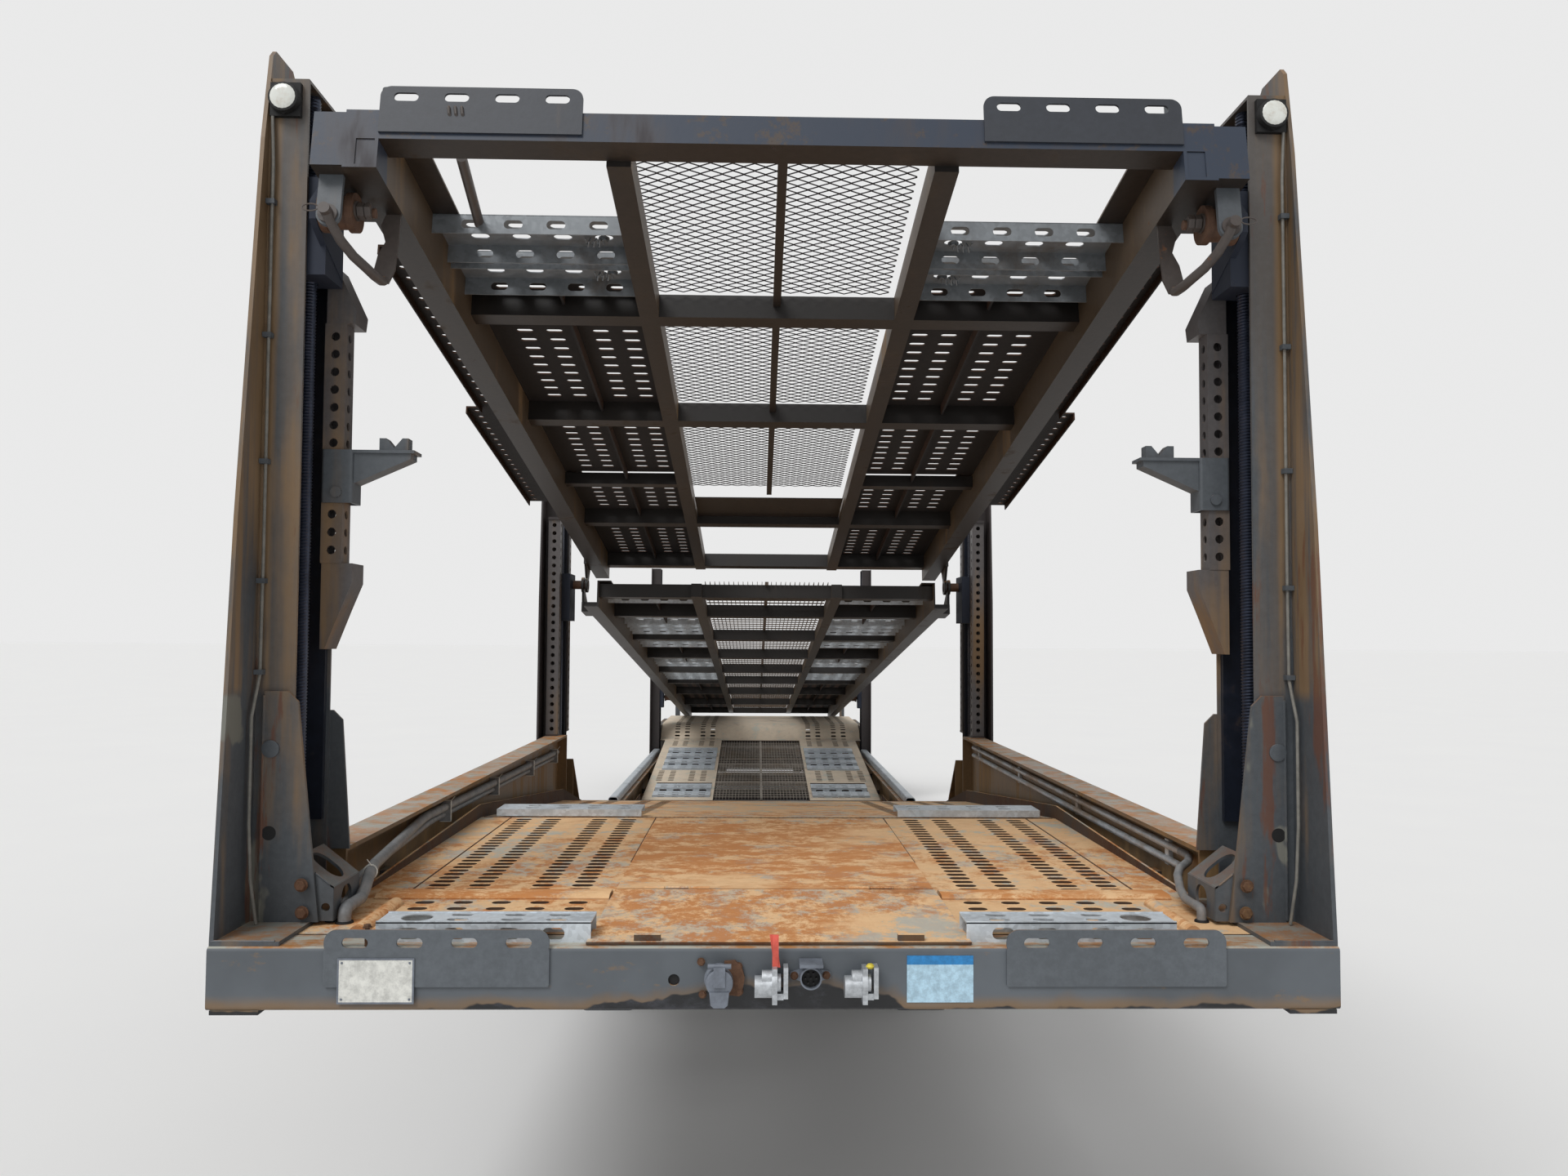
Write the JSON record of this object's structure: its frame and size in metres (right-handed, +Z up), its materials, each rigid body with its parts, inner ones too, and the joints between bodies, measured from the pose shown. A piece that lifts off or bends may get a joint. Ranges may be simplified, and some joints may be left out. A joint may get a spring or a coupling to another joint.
{
  "type": "car transporter semi-trailer",
  "caption": "Open double-deck car transporter semi-trailer with tilting upper decks on screw-lift posts, low well, wheel hump, twin wheels and landing legs.",
  "frame": {"origin": "on the ground under the middle of the bounding box", "axes": "+X to the trailer's own left, +Y back from the coupling end, +Z up"},
  "size_m": [2.55, 13.924, 3.35],
  "materials": {
    "blue_grey_paint": "worn grey-blue paint under rust dust",
    "brown_paint": "dark brown rusted steel",
    "rusty_deck": "orange rust with pale paint left in streaks",
    "galvanised": "hot-dip galvanised, dusty",
    "bare_steel": "greasy machined steel",
    "rusty_steel": "rusted",
    "black_plastic": "matt",
    "tyre_rubber": "dusty rubber",
    "rim_paint": "silver paint",
    "red_lens": "glossy",
    "lamp_plastic": "clear lens in black housing",
    "cast_alloy": "cast, dusty",
    "cable_black": "black sheathed cable"
  },
  "bodies": {
    "chassis": {"air_suspension": "black_plastic", "axles": "rusty_steel", "cable_bundle": "cable_black", "centre_cover": "rusty_deck", "coupler_plate": "bare_steel", "deck_rests": "blue_grey_paint", "floor_crossmembers": "brown_paint", "foot_brackets": "blue_grey_paint", "front_crossmember": "blue_grey_paint", "front_platform": "rusty_deck", "front_posts": "blue_grey_paint", "kingpin": "bare_steel", "landing_legs": "blue_grey_paint", "lift_screws": "bare_steel", "lower_lashing_rails": "blue_grey_paint", "marker_lamps": "lamp_plastic", "mid_carriages": "black_plastic", "mid_posts": "blue_grey_paint", "mudguards": "brown_paint", "neck_frame": "brown_paint", "platform_planks": "galvanised", "ramp_grating": "brown_paint", "rear_bumper": "blue_grey_paint", "rear_frame": "brown_paint", "rear_posts": "blue_grey_paint", "screw_guides": "black_plastic", "service_couplings": "cast_alloy", "side_frames": "blue_grey_paint", "side_pipes": "galvanised", "support_struts": "brown_paint", "tail_lamps": "red_lens", "tail_stanchions": "blue_grey_paint", "well_floor": "rusty_deck", "well_side_rails": "galvanised", "wheel_deck": "rusty_deck", "wheel_ramp": "rusty_deck"},
    "hatch": {"platform_hatch": "rusty_deck"},
    "front_deck": {"front_deck_frame": "brown_paint", "deck_lashing_rails": "blue_grey_paint", "front_deck_tracks": "brown_paint", "front_deck_mesh": "galvanised", "front_deck_planks": "galvanised", "corner_fittings": "brown_paint", "deck_side_strips": "brown_paint"},
    "rear_deck": {"rear_deck_frame": "brown_paint", "rear_deck_tracks": "brown_paint", "rear_deck_planks": "galvanised", "rear_deck_grating": "brown_paint"},
    "front_carriage": {"front_carriages": "black_plastic"},
    "rear_carriage": {"rear_carriages": "black_plastic"},
    "ramp_left": {"loading_ramp_left": "galvanised"},
    "ramp_right": {"loading_ramp_right": "galvanised"},
    "front_left_wheels": {"front_left_rims": "rim_paint", "front_left_tyres": "tyre_rubber"},
    "front_right_wheels": {"front_right_rims": "rim_paint", "front_right_tyres": "tyre_rubber"},
    "rear_left_wheels": {"rear_left_rims": "rim_paint", "rear_left_tyres": "tyre_rubber"},
    "rear_right_wheels": {"rear_right_rims": "rim_paint", "rear_right_tyres": "tyre_rubber"}
  },
  "joints": [
    {"name": "front_left_wheel_spin", "type": "hinge", "parent": "chassis", "child": "front_left_wheels", "pos_m": [0, 4.825, 0.398], "axis": [1, 0, 0], "continuous": true},
    {"name": "front_right_wheel_spin", "type": "hinge", "parent": "chassis", "child": "front_right_wheels", "pos_m": [0, 4.825, 0.398], "axis": [1, 0, 0], "continuous": true},
    {"name": "rear_left_wheel_spin", "type": "hinge", "parent": "chassis", "child": "rear_left_wheels", "pos_m": [0, 6.085, 0.398], "axis": [1, 0, 0], "continuous": true},
    {"name": "rear_right_wheel_spin", "type": "hinge", "parent": "chassis", "child": "rear_right_wheels", "pos_m": [0, 6.085, 0.398], "axis": [1, 0, 0], "continuous": true},
    {"name": "hatch_lift", "type": "hinge", "parent": "chassis", "child": "hatch", "pos_m": [0, -6.313, 1.2075], "axis": [-1, 0, 0], "range_deg": [0, 100]},
    {"name": "front_deck_tilt", "type": "hinge", "parent": "chassis", "child": "front_deck", "pos_m": [0, -2.725, 2.2], "axis": [1, 0, 0], "range_deg": [-1.5, 7.7]},
    {"name": "rear_deck_tilt", "type": "hinge", "parent": "chassis", "child": "rear_deck", "pos_m": [0, -2.725, 2.2], "axis": [1, 0, 0], "range_deg": [0, 10]},
    {"name": "front_carriage_slide", "type": "slide", "parent": "chassis", "child": "front_carriage", "axis": [0, 0, 1], "range_m": [-0.547, 0.108]},
    {"name": "rear_carriage_slide", "type": "slide", "parent": "chassis", "child": "rear_carriage", "axis": [0, 0, 1], "range_m": [-0.001, 1.21]},
    {"name": "ramp_left_slide", "type": "slide", "parent": "chassis", "child": "ramp_left", "axis": [0, 1, 0], "range_m": [0, 1.5]},
    {"name": "ramp_right_slide", "type": "slide", "parent": "chassis", "child": "ramp_right", "axis": [0, 1, 0], "range_m": [0, 1.5]}
  ],
  "couplings": [
    {"joint": "front_carriage_slide", "follows": "front_deck_tilt", "m_per_rad": -4.055},
    {"joint": "rear_carriage_slide", "follows": "rear_deck_tilt", "m_per_rad": 6.922}
  ]
}
